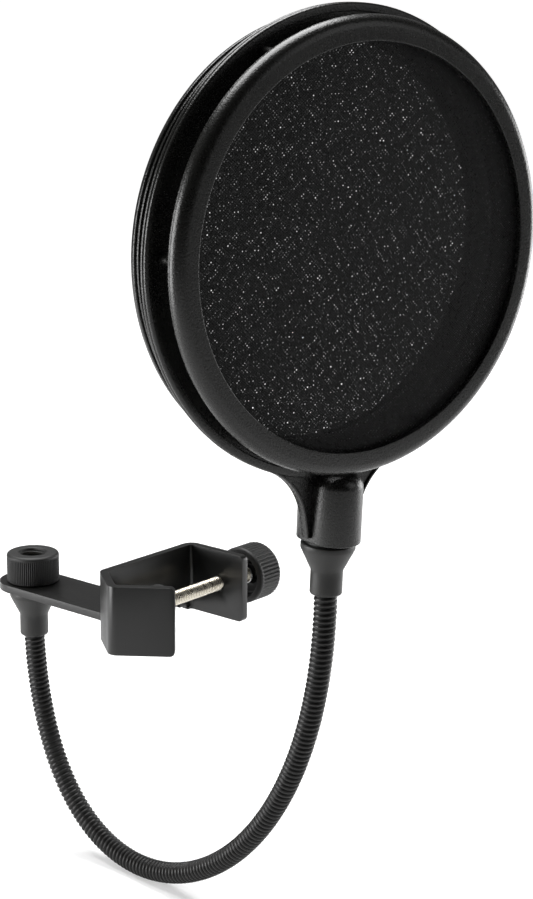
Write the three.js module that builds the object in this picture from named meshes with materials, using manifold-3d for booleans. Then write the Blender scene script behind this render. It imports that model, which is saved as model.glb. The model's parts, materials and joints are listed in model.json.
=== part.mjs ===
// Double-screen pop filter on a gooseneck with a C-clamp.
// Millimetres, +Z up. The origin is the axis of an upright tube, 20 mm across, held between the clamp's V jaw
// and its pad, at the jaws' mid height. +X runs along the clamp screw to its knob, +Y to the arm's lock nut.

import * as THREE from "three";
import { mergeVertices } from "three/addons/utils/BufferGeometryUtils.js";
import Module from "manifold-3d";

const wasm = await Module();
wasm.setup();

// ---------- driving dimensions ----------

const GAP = 0.3; // running and seating clearance between neighbouring pieces

const sheet = { thickness: 3.2, innerBend: 1.2, halfHeight: 13.85, cornerRadius: 2 };
const throat = {
  vertexX: -16.5, // outer face of the V's fold
  vHalfAngle: 53.3 * (Math.PI / 180),
  nearPanel: 25.6, // length of the V panel on the open side
  webY: 17.5, // outer face of the web
  jawX: 50.5, // outer face of the flat jaw
  jawEndY: -13.3, // free end of the flat jaw
};
const arm = {
  centreX: 24.4,
  width: 25.8,
  tipY: 86.2, // centre of its round end
  studY: 84.2, // the stud's hole is a little inward of it
  reliefEndX: 45.3,
  reliefTop: -11.9,
  reliefSlot: 3,
};
const screw = { radius: 2.9, tipX: 11.9, endX: 71.6 };
const pad = { faceX: 10, backX: 14, radius: 7.7 };
const knob = { innerX: 61.5, floorX: 67.5, outerX: 74.5, radius: 11.8, recessRadius: 9, edge: 1.6 };
const bush = { radius: 4.2, startX: 64.2, endX: 71 };
const stud = { radius: 4.8, top: -2.4, headReach: 16 };
const nut = { radius: 11.1, top: 2, boreChamfer: 0.85, edge: 1.3, counterboreRadius: 9.4 };
const washer = { radius: 9.1, thickness: 1.1 };
const ferrule = {
  cylinderRadius: 6,
  cylinder: 9.3,
  flangeRadius: 10.1,
  cone: 8.3,
  flange: 2,
  collarRadius: 8.3,
  collar: 0.8,
  edge: 0.9,
};
const gooseneck = {
  radius: 4.4,
  inFerrule: 8, // length held inside each ferrule
  baseDrop: 147, // how far the loop's shape is pulled down below the arm ...
  neckDrop: 155, // ... and below the head
  bow: 6, // sideways bow of the loop
  segments: 8,
};
const neck = {
  mouth: new THREE.Vector3(10.2, -84.7, 23), // lower end of the upper ferrule
  heading: -13.8 * (Math.PI / 180), // the head turns towards -X
  forwardLean: 1.1 * (Math.PI / 180),
  sideLean: 1.3 * (Math.PI / 180),
};
const hoop = {
  radius: 80,
  backFace: 10.2, // distances from the head's mid plane
  backEdge: 0.6,
  crownRadius: 4.3,
  lipRadius: 71.2,
  lipEdge: 0.9,
  wall: 2.1,
  faceThickness: 1.9,
};
const screen = { radius: 77.5, thickness: 0.3 };
const retainer = { innerRadius: 71.6, outerRadius: 77.6, flangeRadius: 79.4, flange: 1.3, backFace: 8.6 };
const frameRing = { innerRadius: 71, rimRadius: 83.4, rimHalf: 2, webHalf: 1.2, webEdge: 80.2 };
const yoke = {
  startAngle: 20 * (Math.PI / 180), // where its sides leave the ring, from straight down
  sweep: 25, // radius of its hollow sides
  sideAngle: 79 * (Math.PI / 180), // slope of its sides at the barrel
  topRadius: 77.1, // buried in the ring
  webHalf: 1.05,
  lip: 1.2,
  lipHalf: 1.85,
};
const barrel = { radius: 9.5, offset: 3.5, dome: 5, top: -81.3, bottom: -107.1, boreDepth: 18 };
const insert = { outerRadius: 7, length: 14, recess: 0.6 };
const pegs = { count: 6, radius: 1.9, circle: 76.8 };

const RING_SIDES = 48;
const TURNED_SIDES = 24;
const GRIP_SIDES = 32;
const QUARTER = Math.PI / 2;

// ---------- finishes ----------

const finishes = {
  blackPaint: new THREE.MeshStandardMaterial({ color: 0x1b1c1c, roughness: 0.45, metalness: 0 }),
  blackPlastic: new THREE.MeshStandardMaterial({ color: 0x202120, roughness: 0.5, metalness: 0 }),
  knobPlastic: new THREE.MeshStandardMaterial({ color: 0x1d1e1e, roughness: 0.6, metalness: 0 }),
  blackCoil: new THREE.MeshStandardMaterial({ color: 0x181816, roughness: 0.35, metalness: 0.3 }),
  nickel: new THREE.MeshStandardMaterial({ color: 0xcfc7b6, roughness: 0.25, metalness: 1 }),
  chrome: new THREE.MeshStandardMaterial({ color: 0xd8d8d8, roughness: 0.12, metalness: 1 }),
  rubber: new THREE.MeshStandardMaterial({ color: 0x141414, roughness: 0.8, metalness: 0 }),
  nylon: new THREE.MeshStandardMaterial({ color: 0x101010, roughness: 0.6, metalness: 0 }),
};

// ---------- helpers ----------

/** Points of an arc in a plane, from one angle to another, both ends included. */
function arc(x, y, radius, from, to, steps) {
  return Array.from({ length: steps + 1 }, (_, i) => {
    const angle = from + ((to - from) * i) / steps;
    return [x + radius * Math.cos(angle), y + radius * Math.sin(angle)];
  });
}

/** A solid of revolution about +Y from [radius, height] points, anticlockwise around its section. */
function turned(points, sides = TURNED_SIDES) {
  return new THREE.LatheGeometry(
    points.map(([radius, height]) => new THREE.Vector2(radius, height)),
    sides,
  );
}

/** A ring of revolution: the section closes on itself instead of on the axis. */
function turnedRing(points, sides) {
  return turned([...points, points[0]], sides);
}

/** An outline in x and y, as thick as depth along +Z, starting at z = 0. */
function extruded(points, depth) {
  const outline = new THREE.Shape(points.map(([x, y]) => new THREE.Vector2(x, y)));
  return new THREE.ExtrudeGeometry(outline, { depth, bevelEnabled: false });
}

/** Turns a geometry whose axis is +Y so that its axis is +Z. */
const upright = (geometry) => geometry.rotateX(QUARTER);

/** Turns a geometry whose axis is +Y so that its axis is +X. */
const alongX = (geometry) => geometry.rotateZ(-QUARTER);

/** A geometry as a solid that can be joined and cut. */
function solid(geometry) {
  const bare = geometry.clone();
  bare.deleteAttribute("normal");
  bare.deleteAttribute("uv");
  const merged = mergeVertices(bare, 1e-4);
  const triangles = [];
  for (let i = 0; i < merged.index.count; i += 3) {
    const corners = [0, 1, 2].map((k) => merged.index.getX(i + k));
    if (new Set(corners).size === 3) triangles.push(...corners);
  }
  return new wasm.Manifold(
    new wasm.Mesh({
      numProp: 3,
      vertProperties: new Float32Array(merged.attributes.position.array),
      triVerts: new Uint32Array(triangles),
    }),
  );
}

/** A joined or cut solid as a geometry again. */
function geometryOf(body) {
  const mesh = body.getMesh();
  const geometry = new THREE.BufferGeometry();
  const stride = mesh.numProp;
  const positions = new Float32Array(mesh.numVert * 3);
  for (let i = 0; i < mesh.numVert; i++) {
    positions.set(mesh.vertProperties.subarray(i * stride, i * stride + 3), i * 3);
  }
  geometry.setAttribute("position", new THREE.BufferAttribute(positions, 3));
  geometry.setIndex(new THREE.BufferAttribute(new Uint32Array(mesh.triVerts), 1));
  return geometry;
}

/** A named sub-part. */
function piece(name, geometry, finish) {
  const mesh = new THREE.Mesh(geometry, finish);
  mesh.name = name;
  return mesh;
}

// ---------- clamp bracket and arm ----------

/**
 * Outline of a strip bent from sheet, seen edge on. The path is the outer face, every bend turns to the
 * right, and each bend is an arc about one centre on both faces.
 */
function bentStrip(path, thickness, innerBend) {
  const outerBend = innerBend + thickness;
  const corners = path.map(([x, y]) => new THREE.Vector2(x, y));
  const direction = (i) => corners[i + 1].clone().sub(corners[i]).normalize();
  const inward = (along) => new THREE.Vector2(along.y, -along.x);
  const first = inward(direction(0)).multiplyScalar(thickness).add(corners[0]);
  const outer = [corners[0].toArray()];
  const inner = [first.toArray()];
  for (let i = 1; i < corners.length - 1; i++) {
    const before = direction(i - 1);
    const after = direction(i);
    const turn = Math.acos(before.dot(after));
    const tangent = outerBend * Math.tan(turn / 2);
    const centre = corners[i].clone().addScaledVector(before, -tangent);
    centre.addScaledVector(inward(before), outerBend);
    const start = inward(before).negate().angle();
    const steps = Math.max(3, Math.round(turn / (Math.PI / 12)));
    outer.push(...arc(centre.x, centre.y, outerBend, start, start - turn, steps));
    inner.push(...arc(centre.x, centre.y, innerBend, start, start - turn, steps));
  }
  const last = corners.length - 1;
  outer.push(corners[last].toArray());
  inner.push(inward(direction(last - 1)).multiplyScalar(thickness).add(corners[last]).toArray());
  return [...outer, ...inner.reverse()];
}

/** The wedge left outside a rounded corner, to be cut away: the corner is at 0, 0 and points to +x, +y. */
function cornerWaste(radius) {
  const beyond = 1;
  const corner = arc(-radius, -radius, radius, QUARTER, 0, 6);
  return [[beyond, beyond], [-radius, beyond], ...corner, [beyond, -radius]];
}

function clampBracket() {
  const { vertexX, vHalfAngle, nearPanel, webY, jawX, jawEndY } = throat;
  const { thickness, innerBend, halfHeight, cornerRadius } = sheet;
  const nearEnd = [
    vertexX + nearPanel * Math.cos(vHalfAngle),
    -nearPanel * Math.sin(vHalfAngle),
  ];
  const farFold = [vertexX + webY / Math.tan(vHalfAngle), webY];
  const strip = bentStrip(
    [nearEnd, [vertexX, 0], farFold, [jawX, webY], [jawX, jawEndY]],
    thickness,
    innerBend,
  );
  let body = solid(extruded(strip, 2 * halfHeight).translate(0, 0, -halfHeight));

  // The arm is a tab of the web's lower edge, folded outwards. Its section is drawn in y and z.
  const foldY = webY + innerBend;
  const foldZ = -halfHeight + thickness + innerBend;
  const foldSteps = 6;
  const outerFold = arc(foldY, foldZ, innerBend + thickness, Math.PI, 1.5 * Math.PI, foldSteps);
  const innerFold = arc(foldY, foldZ, innerBend, 1.5 * Math.PI, Math.PI, foldSteps);
  const webOverlap = 2;
  const tab = [
    ...outerFold,
    [arm.tipY, -halfHeight],
    [arm.tipY, -halfHeight + thickness],
    ...innerFold,
    [webY, foldZ + webOverlap],
    [webY - thickness, foldZ + webOverlap],
  ];
  const yzToSpace = new THREE.Matrix4().makeBasis(
    new THREE.Vector3(0, 1, 0),
    new THREE.Vector3(0, 0, 1),
    new THREE.Vector3(1, 0, 0),
  );
  const tabLeft = arm.centreX - arm.width / 2;
  const tabSolid = solid(extruded(tab, arm.width).applyMatrix4(yzToSpace).translate(tabLeft, 0, 0));
  const tipSides = 40;
  const tip = upright(new THREE.CylinderGeometry(arm.width / 2, arm.width / 2, thickness, tipSides));
  tip.translate(arm.centreX, arm.tipY, -halfHeight + thickness / 2);

  // Relief cuts in the web on both sides of the tab's fold. Their outlines are drawn in x and z.
  const xzToSpace = new THREE.Matrix4().makeBasis(
    new THREE.Vector3(1, 0, 0),
    new THREE.Vector3(0, 0, 1),
    new THREE.Vector3(0, -1, 0),
  );
  const below = -halfHeight - 1;
  const tabRight = tabLeft + arm.width;
  const easing = -halfHeight - arm.reliefTop;
  const knobSide = [
    [tabRight, below],
    [arm.reliefEndX, below],
    ...arc(arm.reliefEndX - easing, arm.reliefTop + easing, -easing, Math.PI, QUARTER, 5),
    [tabRight + arm.reliefSlot, arm.reliefTop],
    [tabRight + arm.reliefSlot, foldZ],
    [tabRight, foldZ],
  ];
  const vSide = [
    [tabLeft - arm.reliefSlot, below],
    [tabLeft, below],
    [tabLeft, foldZ],
    [tabLeft - arm.reliefSlot, foldZ],
  ];
  for (const relief of [knobSide, vSide]) {
    const cutter = extruded(relief, 2 * thickness).applyMatrix4(xzToSpace);
    body = body.subtract(solid(cutter.translate(0, webY + thickness / 2, 0)));
  }
  body = body.add(tabSolid).add(solid(tip));

  // Round the free corners of the flat jaw and of the V's near panel.
  const wastes = [-1, 1].map((side) => {
    const waste = extruded(cornerWaste(cornerRadius), 4 * thickness).translate(0, 0, -2 * thickness);
    return side > 0 ? waste : waste.rotateX(Math.PI);
  });
  const panelAngle = Math.PI - vHalfAngle;
  wastes.forEach((waste, i) => {
    const z = i === 0 ? -halfHeight : halfHeight;
    const jawWaste = waste.clone().applyMatrix4(xzToSpace).rotateZ(-QUARTER);
    body = body.subtract(solid(jawWaste.translate(jawX - thickness / 2, jawEndY, z)));
    const panelWaste = waste.clone().applyMatrix4(xzToSpace).rotateZ(panelAngle - Math.PI);
    body = body.subtract(solid(panelWaste.translate(nearEnd[0], nearEnd[1], z)));
  });

  const studHole = upright(
    new THREE.CylinderGeometry(stud.radius + GAP, stud.radius + GAP, 4 * thickness, TURNED_SIDES),
  );
  studHole.translate(arm.centreX, arm.studY, -halfHeight);
  const screwHole = alongX(
    new THREE.CylinderGeometry(screw.radius + GAP, screw.radius + GAP, 4 * thickness, TURNED_SIDES),
  );
  screwHole.translate(jawX, 0, 0);
  body = body.subtract(solid(studHole)).subtract(solid(screwHole));
  return piece("clamp_bracket", geometryOf(body), finishes.blackPaint);
}

// ---------- clamp screw, pad and knob ----------

function screwPad() {
  const socket = screw.radius + GAP;
  const edge = 0.8;
  const section = [
    [0, pad.faceX],
    [pad.radius - edge, pad.faceX],
    [pad.radius, pad.faceX + edge],
    [pad.radius, pad.backX - edge],
    [pad.radius - edge, pad.backX],
    [socket, pad.backX],
    [socket, screw.tipX - GAP],
    [0, screw.tipX - GAP],
  ];
  return piece("screw_pad", alongX(turned(section)), finishes.rubber);
}

function clampScrew() {
  const chamfer = 0.7;
  const section = [
    [0, screw.tipX],
    [screw.radius - chamfer, screw.tipX],
    [screw.radius, screw.tipX + chamfer],
    [screw.radius, screw.endX],
    [0, screw.endX],
  ];
  return piece("clamp_screw", alongX(turned(section)), finishes.nickel);
}

function knobBush() {
  const bore = screw.radius + GAP;
  const chamfer = 0.5;
  const section = [
    [bore, bush.startX],
    [bush.radius - chamfer, bush.startX],
    [bush.radius, bush.startX + chamfer],
    [bush.radius, bush.endX],
    [bore, bush.endX],
  ];
  return piece("knob_bush", alongX(turnedRing(section)), finishes.chrome);
}

function clampKnob() {
  const { innerX, floorX, outerX, radius, recessRadius, edge } = knob;
  const bore = bush.radius + GAP;
  const section = [
    [0, screw.endX + GAP],
    [bore, screw.endX + GAP],
    [bore, floorX],
    [recessRadius, floorX],
    [recessRadius, innerX],
    [radius - edge / 2, innerX],
    [radius, innerX + edge / 2],
    ...arc(radius - edge, outerX - edge, edge, 0, QUARTER, 4),
    [0, outerX],
  ];
  return piece("clamp_knob", alongX(turned(section, GRIP_SIDES)), finishes.knobPlastic);
}

// ---------- lock nut on the arm ----------

const ARM_TOP = -sheet.halfHeight + sheet.thickness;
const NUT_BOTTOM = ARM_TOP + GAP;

function nutWasher() {
  const bore = stud.radius + GAP;
  const section = [
    [bore, NUT_BOTTOM],
    [washer.radius, NUT_BOTTOM],
    [washer.radius, NUT_BOTTOM + washer.thickness],
    [bore, NUT_BOTTOM + washer.thickness],
  ];
  return piece("nut_washer", upright(turnedRing(section)), finishes.nickel);
}

function lockNut() {
  const bore = stud.radius + GAP;
  const { radius, top, edge, boreChamfer, counterboreRadius } = nut;
  const seat = NUT_BOTTOM + washer.thickness + GAP;
  const foot = 0.6;
  const section = [
    [bore, seat],
    [counterboreRadius, seat],
    [counterboreRadius, NUT_BOTTOM],
    [radius - foot, NUT_BOTTOM],
    [radius, NUT_BOTTOM + foot],
    ...arc(radius - edge, top - edge, edge, 0, QUARTER, 4),
    [bore + boreChamfer, top],
    [bore, top - boreChamfer],
  ];
  return piece("lock_nut", upright(turnedRing(section, GRIP_SIDES)), finishes.knobPlastic);
}

// ---------- ferrules and studs ----------

const FERRULE_LENGTH = ferrule.cylinder + ferrule.cone + ferrule.flange + ferrule.collar;

/** A ferrule standing on its mouth at z = 0, flange up, with the gooseneck's end below and the stud above. */
function ferruleGeometry() {
  const { cylinderRadius, cylinder, flangeRadius, cone, flange, collarRadius, edge } = ferrule;
  const mouth = gooseneck.radius + GAP;
  const bore = stud.radius + GAP;
  const step = gooseneck.inFerrule + GAP;
  const coneTop = cylinder + cone;
  const rim = 0.4;
  return upright(
    turnedRing([
      [mouth, 0],
      ...arc(cylinderRadius - edge, edge, edge, -QUARTER, 0, 3),
      [cylinderRadius, cylinder],
      [flangeRadius, coneTop],
      [flangeRadius, coneTop + flange - rim],
      [flangeRadius - rim, coneTop + flange],
      [collarRadius, coneTop + flange],
      [collarRadius, FERRULE_LENGTH],
      [bore, FERRULE_LENGTH],
      [bore, step],
      [mouth, step],
    ]),
  );
}

/** A threaded stud as a plain rod from one height to another, with chamfered ends. */
function studGeometry(from, to) {
  const chamfer = 0.8;
  return upright(
    turned([
      [0, from],
      [stud.radius - chamfer, from],
      [stud.radius, from + chamfer],
      [stud.radius, to - chamfer],
      [stud.radius - chamfer, to],
      [0, to],
    ]),
  );
}

// ---------- gooseneck ----------

const ferruleTop = -sheet.halfHeight - GAP;
const baseMouth = new THREE.Vector3(arm.centreX, arm.studY, ferruleTop - FERRULE_LENGTH);

/** The neck's frame: origin at the upper ferrule's mouth, +Z along the neck, the head's front towards -Y. */
const neckFrame = new THREE.Group();
neckFrame.position.copy(neck.mouth);
neckFrame.rotation.set(neck.forwardLean, neck.sideLean, neck.heading, "ZXY");
neckFrame.updateMatrixWorld();
const neckAxis = new THREE.Vector3(0, 0, 1).transformDirection(neckFrame.matrixWorld);

/** Level, square to the line between the two ferrules: the way that the hanging loop bows. */
const up = new THREE.Vector3(0, 0, 1);
const across = neck.mouth.clone().sub(baseMouth).setZ(0).normalize().cross(up).negate();

/** The gooseneck's centre line: straight in both ferrules, one hanging loop between them. */
function gooseneckPath() {
  const bow = across.clone().multiplyScalar(gooseneck.bow);
  const path = new THREE.CurvePath();
  path.add(new THREE.LineCurve3(baseMouth.clone().addScaledVector(up, gooseneck.inFerrule), baseMouth));
  path.add(
    new THREE.CubicBezierCurve3(
      baseMouth,
      baseMouth.clone().addScaledVector(up, -gooseneck.baseDrop).add(bow),
      neck.mouth.clone().addScaledVector(neckAxis, -gooseneck.neckDrop).add(bow),
      neck.mouth,
    ),
  );
  path.add(
    new THREE.LineCurve3(neck.mouth, neck.mouth.clone().addScaledVector(neckAxis, gooseneck.inFerrule)),
  );
  return path;
}

const path = gooseneckPath();
const pathLength = path.getLength();

/** Bends a straight rod that stands on z = 0 onto the path, from a distance along it. */
function bentOntoPath(geometry, from) {
  const positions = geometry.attributes.position;
  for (let i = 0; i < positions.count; i++) {
    const along = (from + positions.getZ(i)) / pathLength;
    const point = path.getPointAt(Math.min(1, Math.max(0, along)));
    const tangent = path.getTangentAt(Math.min(1, Math.max(0, along)));
    const inPlane = tangent.clone().cross(across).normalize();
    const sideways = inPlane.clone().cross(tangent);
    point.addScaledVector(sideways, positions.getX(i)).addScaledVector(inPlane, positions.getY(i));
    positions.setXYZ(i, point.x, point.y, point.z);
  }
  return geometry;
}

/** One length of gooseneck. An end that meets a neighbour is a half ball centred just short of the joint. */
function gooseneckLength(index) {
  const length = pathLength / gooseneck.segments;
  const { radius, segments } = gooseneck;
  const ball = radius + GAP / 2;
  const low = index === 0 ? 0 : ball;
  const high = index === segments - 1 ? length : length - ball;
  const ballSteps = 3;
  const isLast = index === segments - 1;
  const bottom = index === 0 ? [[0, 0], [radius, 0]] : arc(0, low, radius, -QUARTER, 0, ballSteps);
  const top = isLast ? [[radius, length], [0, length]] : arc(0, high, radius, 0, QUARTER, ballSteps);
  const middleSteps = 4;
  const middle = Array.from({ length: middleSteps - 1 }, (_, i) => {
    return [radius, low + ((high - low) * (i + 1)) / middleSteps];
  });
  const section = [...bottom, ...middle, ...top].map(([r, z]) => [Math.max(r, 0), z]);
  section[0][0] = 0;
  section[section.length - 1][0] = 0;
  const rod = upright(turned(section, 12));
  const geometry = bentOntoPath(rod, index * length);
  return piece(`gooseneck_${index + 1}`, geometry, finishes.blackCoil);
}

// ---------- head: hoops, screens, retainers, frame ----------

/** Turns a ring about +Y whose forward side is +Y so that forward is -Y, the head's front. */
const facingFront = (geometry) => geometry.rotateX(Math.PI);

function hoopGeometry() {
  const { radius, backFace, backEdge, crownRadius, lipRadius, lipEdge, wall, faceThickness } = hoop;
  const crownStart = backFace + backEdge;
  const front = crownStart + crownRadius;
  return turnedRing(
    [
      [radius - wall, backFace],
      [radius - backEdge, backFace],
      [radius, crownStart],
      ...arc(radius - crownRadius, crownStart, crownRadius, 0, QUARTER, 4).slice(1),
      ...arc(lipRadius + lipEdge, front - lipEdge, lipEdge, QUARTER, 2 * QUARTER, 2),
      [lipRadius, front - faceThickness],
      [radius - wall, front - faceThickness],
    ],
    RING_SIDES,
  );
}

const SCREEN_FRONT = hoop.backFace + hoop.backEdge + hoop.crownRadius - hoop.faceThickness - GAP;
const SCREEN_BACK = SCREEN_FRONT - screen.thickness;

function screenGeometry() {
  return turned(
    [
      [0, SCREEN_BACK],
      [screen.radius, SCREEN_BACK],
      [screen.radius, SCREEN_FRONT],
      [0, SCREEN_FRONT],
    ],
    RING_SIDES,
  );
}

function retainerGeometry() {
  const { innerRadius, outerRadius, flangeRadius, flange, backFace } = retainer;
  const front = SCREEN_BACK - GAP;
  return turnedRing(
    [
      [innerRadius, backFace],
      [flangeRadius, backFace],
      [flangeRadius, backFace + flange],
      [outerRadius, backFace + flange],
      [outerRadius, front],
      [innerRadius, front],
    ],
    RING_SIDES,
  );
}

function pegGeometry(index) {
  const angle = (2 * Math.PI * index) / pegs.count;
  const from = frameRing.webHalf + GAP;
  const to = retainer.backFace - GAP;
  const peg = new THREE.CylinderGeometry(pegs.radius, pegs.radius, to - from, 12);
  return peg.translate(pegs.circle * Math.cos(angle), (from + to) / 2, pegs.circle * Math.sin(angle));
}

/** Outline, in x and z, of the flat yoke between the ring and the barrel. The inset draws its sides in. */
function yokeOutline(inset, bottom = barrel.bottom) {
  const { startAngle, sweep, sideAngle, topRadius } = yoke;
  const reach = frameRing.rimRadius + sweep;
  const centre = [reach * Math.sin(startAngle), -reach * Math.cos(startAngle)];
  const radius = sweep + inset;
  const side = arc(centre[0], centre[1], radius, Math.PI / 2 + startAngle, Math.PI / 2 + sideAngle, 8);
  const [endX, endZ] = side[side.length - 1];
  side.push([endX - (endZ - bottom) / Math.tan(sideAngle), bottom]);
  const topHalf = startAngle + (2 * inset) / topRadius;
  const top = arc(0, 0, topRadius - inset, -QUARTER - topHalf, -QUARTER + topHalf, 8);
  const mirrored = side.map(([x, z]) => [-x, z]).reverse();
  return [...side, ...mirrored, ...top];
}

/** A plate with an outline in x and z, centred on y = 0. */
function plate(outline, halfThickness) {
  const flat = extruded(outline, 2 * halfThickness).translate(0, 0, -halfThickness);
  return flat.rotateX(QUARTER);
}

/** The barrel: a domed round post whose front and rear halves are drawn apart, so that its sides are flat. */
function barrelGeometry() {
  const { radius, dome, top, bottom, offset } = barrel;
  const foot = 0.5;
  const section = [
    [0, bottom],
    [radius - foot, bottom],
    [radius, bottom + foot],
    ...arc(radius - dome, top - dome, dome, 0, QUARTER, 5),
    [0, top],
  ];
  const post = upright(turned(section)).rotateZ(Math.PI / TURNED_SIDES);
  const positions = post.attributes.position;
  const onAxis = 0.01;
  for (let i = 0; i < positions.count; i++) {
    const y = positions.getY(i);
    if (Math.hypot(positions.getX(i), y) > onAxis) positions.setY(i, y + Math.sign(y) * offset);
  }
  return post;
}

function centreFrame() {
  const { innerRadius, rimRadius, rimHalf, webHalf, webEdge } = frameRing;
  const shoulder = 0.4;
  const ring = turnedRing(
    [
      [innerRadius, -webHalf],
      [webEdge, -webHalf],
      [webEdge + shoulder, -rimHalf],
      ...arc(rimRadius - rimHalf, 0, rimHalf, -QUARTER, QUARTER, 4),
      [webEdge + shoulder, rimHalf],
      [webEdge, webHalf],
      [innerRadius, webHalf],
    ],
    RING_SIDES,
  );
  const lips = solid(plate(yokeOutline(0), yoke.lipHalf)).subtract(
    solid(plate(yokeOutline(yoke.lip, barrel.bottom - yoke.lip), 2 * yoke.lipHalf)),
  );
  let body = solid(plate(yokeOutline(yoke.lip / 2), yoke.webHalf)).add(lips).add(solid(ring));
  body = body.add(solid(barrelGeometry()));
  const boreRadius = insert.outerRadius + GAP;
  const bore = upright(
    new THREE.CylinderGeometry(boreRadius, boreRadius, 2 * barrel.boreDepth, TURNED_SIDES),
  );
  body = body.subtract(solid(bore.translate(0, 0, barrel.bottom)));
  return piece("centre_frame", geometryOf(body), finishes.blackPlastic);
}

function socketInsert() {
  const bottom = barrel.bottom + insert.recess;
  const bore = stud.radius + GAP;
  const section = [
    [bore, bottom],
    [insert.outerRadius, bottom],
    [insert.outerRadius, bottom + insert.length],
    [bore, bottom + insert.length],
  ];
  return piece("socket_insert", upright(turnedRing(section)), finishes.nickel);
}

/** One side of the head: hoop, screen, retainer and the pegs that hold them off the frame. */
function screenSide(side, orient) {
  const parts = [
    piece(`${side}_hoop`, orient(hoopGeometry()), finishes.blackPlastic),
    piece(`${side}_screen`, orient(screenGeometry()), finishes.nylon),
    piece(`${side}_retainer`, orient(retainerGeometry()), finishes.blackPlastic),
  ];
  for (let i = 0; i < pegs.count; i++) {
    parts.push(piece(`${side}_peg_${i + 1}`, orient(pegGeometry(i)), finishes.blackPlastic));
  }
  return parts;
}

// ---------- assembly ----------

const group = new THREE.Group();
group.add(clampBracket(), screwPad(), clampScrew(), knobBush(), clampKnob());

const studAxis = new THREE.Group();
studAxis.position.set(arm.centreX, arm.studY, 0);
studAxis.add(nutWasher(), lockNut());
const studFoot = baseMouth.z + gooseneck.inFerrule + 2 * GAP;
studAxis.add(piece("lower_stud", studGeometry(studFoot, stud.top), finishes.nickel));
const lowerFerrule = piece("lower_ferrule", ferruleGeometry(), finishes.blackPlastic);
lowerFerrule.position.z = baseMouth.z;
studAxis.add(lowerFerrule);
group.add(studAxis);

for (let i = 0; i < gooseneck.segments; i++) {
  group.add(gooseneckLength(i));
}

const barrelBottom = FERRULE_LENGTH + GAP;
neckFrame.add(piece("upper_ferrule", ferruleGeometry(), finishes.blackPlastic));
const upperStudFoot = gooseneck.inFerrule + 2 * GAP;
neckFrame.add(
  piece("upper_stud", studGeometry(upperStudFoot, barrelBottom + stud.headReach), finishes.nickel),
);
const head = new THREE.Group();
head.position.z = barrelBottom - barrel.bottom;
head.add(centreFrame(), socketInsert());
head.add(...screenSide("front", facingFront), ...screenSide("rear", (geometry) => geometry));
neckFrame.add(head);
group.add(neckFrame);

export default group;
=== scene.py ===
"""The looks of a double-screen pop filter on a gooseneck with a C-clamp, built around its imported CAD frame.

Shapes are drawn in millimetres in the frame of the piece that they belong to. A matrix that comes from the
CAD boxes and joints places them in metres. Every mesh ends with its points in the row frame, its object at
rest.
"""

import json
import math

import bmesh
import bpy
import numpy as np
from mathutils import Matrix, Vector

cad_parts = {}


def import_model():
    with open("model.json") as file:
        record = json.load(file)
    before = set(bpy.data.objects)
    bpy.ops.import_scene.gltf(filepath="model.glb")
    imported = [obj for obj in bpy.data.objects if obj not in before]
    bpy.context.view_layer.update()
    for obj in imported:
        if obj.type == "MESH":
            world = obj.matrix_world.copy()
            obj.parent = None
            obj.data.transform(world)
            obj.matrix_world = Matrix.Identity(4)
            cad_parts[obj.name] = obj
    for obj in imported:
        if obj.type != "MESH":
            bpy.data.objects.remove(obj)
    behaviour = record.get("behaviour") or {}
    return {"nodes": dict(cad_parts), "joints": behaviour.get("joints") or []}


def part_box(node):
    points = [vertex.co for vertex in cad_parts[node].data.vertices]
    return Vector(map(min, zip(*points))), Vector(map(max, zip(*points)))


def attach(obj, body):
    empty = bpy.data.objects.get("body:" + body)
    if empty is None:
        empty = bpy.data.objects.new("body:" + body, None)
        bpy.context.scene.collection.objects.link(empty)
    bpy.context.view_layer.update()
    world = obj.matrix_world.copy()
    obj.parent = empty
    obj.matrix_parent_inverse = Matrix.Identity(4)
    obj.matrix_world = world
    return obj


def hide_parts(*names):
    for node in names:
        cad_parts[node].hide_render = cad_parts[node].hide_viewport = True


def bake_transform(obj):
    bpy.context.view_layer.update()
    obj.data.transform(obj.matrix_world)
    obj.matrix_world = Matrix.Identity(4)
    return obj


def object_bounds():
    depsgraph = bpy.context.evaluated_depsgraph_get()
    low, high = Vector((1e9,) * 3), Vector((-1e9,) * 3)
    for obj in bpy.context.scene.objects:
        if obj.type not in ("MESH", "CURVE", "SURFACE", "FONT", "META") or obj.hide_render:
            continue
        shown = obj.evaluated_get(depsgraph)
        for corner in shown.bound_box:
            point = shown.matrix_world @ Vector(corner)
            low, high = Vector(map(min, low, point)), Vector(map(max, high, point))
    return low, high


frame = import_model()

cad_low, cad_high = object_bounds()

# ---------- driving dimensions, in millimetres ----------

MM = 0.001

HOOP = {
    "radius": 80,
    "back": 10.2,  # distances from the head's mid plane
    "back_edge": 0.6,
    "crown": 4.3,
    "lip_radius": 71.2,
    "lip_edge": 0.35,
    "wall": 2.1,
    "face": 1.9,
    "sides": 256,
}
SCREEN = {"radius": 77.5, "front": 12.9, "half": 0.15, "sides": 256, "rings": 20}
RETAINER = {
    "inner": 71.6,
    "outer": 77.6,
    "flange_radius": 79.4,
    "flange": 1.3,
    "back": 8.6,
    "front": 12.3,
    "sides": 192,
}
FRAME_RING = {"inner": 71, "rim": 83.4, "rim_half": 2, "web_half": 1.2, "web_edge": 80.2, "sides": 256}
YOKE = {
    "start": 20,  # degrees from straight down to where its sides leave the ring
    "sweep": 25,
    "side": 79,  # degrees: slope of its sides at the barrel
    "top_radius": 77.1,
    "web_half": 1.05,
    "lip": 1.2,
    "lip_half": 1.85,
}
BARREL = {
    "radius": 9.5,
    "offset": 3.5,  # how far its front and rear halves stand from the middle
    "dome": 5,
    "foot": 0.6,
    "top": -81.3,
    "bottom": -107.1,
    "bore": 7.3,
    "bore_depth": 18,
    "sides": 96,
}
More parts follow.
